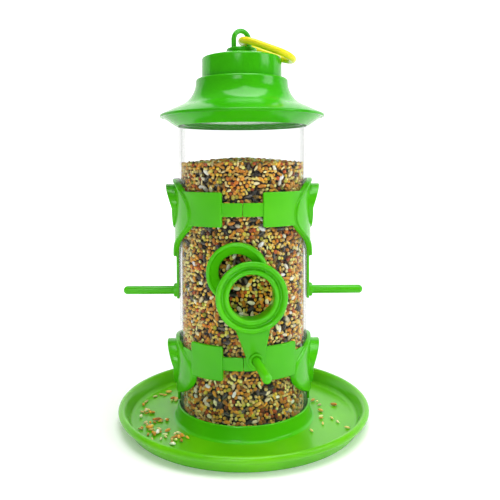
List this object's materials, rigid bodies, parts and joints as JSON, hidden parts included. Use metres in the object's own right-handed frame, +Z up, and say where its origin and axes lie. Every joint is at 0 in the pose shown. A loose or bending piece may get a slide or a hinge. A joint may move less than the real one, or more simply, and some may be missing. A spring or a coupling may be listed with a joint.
{
  "type": "bird feeder",
  "caption": "Clear tube seed feeder with hooded ports, peg perches, a round seed tray, a bell-shaped lift-off roof and an oval hanging link.",
  "frame": {"origin": "centre of the tray's underside, on the surface it stands on", "axes": "+Z up along the tube, -Y towards the front feeding port, +X towards the right side port"},
  "size_m": [0.216, 0.216, 0.3364],
  "materials": {
    "green_plastic": "glossy moulded",
    "clear_plastic": "clear moulded plastic tube",
    "yellow_plastic": "glossy moulded",
    "seed_mix": "mixed dry seed",
    "washer_steel": "plain"
  },
  "bodies": {
    "base": {"tray": "green_plastic", "tube_socket": "green_plastic", "seed_cone": "green_plastic"},
    "tube": {"seed_tube": "clear_plastic", "seed_fill": "seed_mix", "upper_collar_left": "green_plastic", "upper_collar_right": "green_plastic", "lower_collar_left": "green_plastic", "lower_collar_right": "green_plastic", "upper_hood_left": "green_plastic", "upper_hood_right": "green_plastic", "lower_hood_left": "green_plastic", "lower_hood_right": "green_plastic", "perch_upper_left": "green_plastic", "perch_upper_right": "green_plastic", "front_port": "green_plastic", "back_port": "green_plastic", "front_feeding_ring": "green_plastic", "back_feeding_ring": "green_plastic", "perch_front": "green_plastic", "perch_back": "green_plastic"},
    "lid": {"lid_plug": "green_plastic", "roof": "green_plastic", "top_cap": "green_plastic", "hanger_eye": "green_plastic", "eye_washer": "washer_steel"},
    "link": {"hanging_link": "yellow_plastic"}
  },
  "joints": [
    {"name": "tube_release", "type": "slide", "parent": "base", "child": "tube", "axis": [0, 0, 1], "range_m": [0, 0.06]},
    {"name": "lid_lift", "type": "slide", "parent": "tube", "child": "lid", "axis": [0, 0, 1], "range_m": [0, 0.08]},
    {"name": "link_swing", "type": "hinge", "parent": "lid", "child": "link", "pos_m": [0, 0, 0.3257], "axis": [0, -1, 0], "range_deg": [0, 220]}
  ]
}
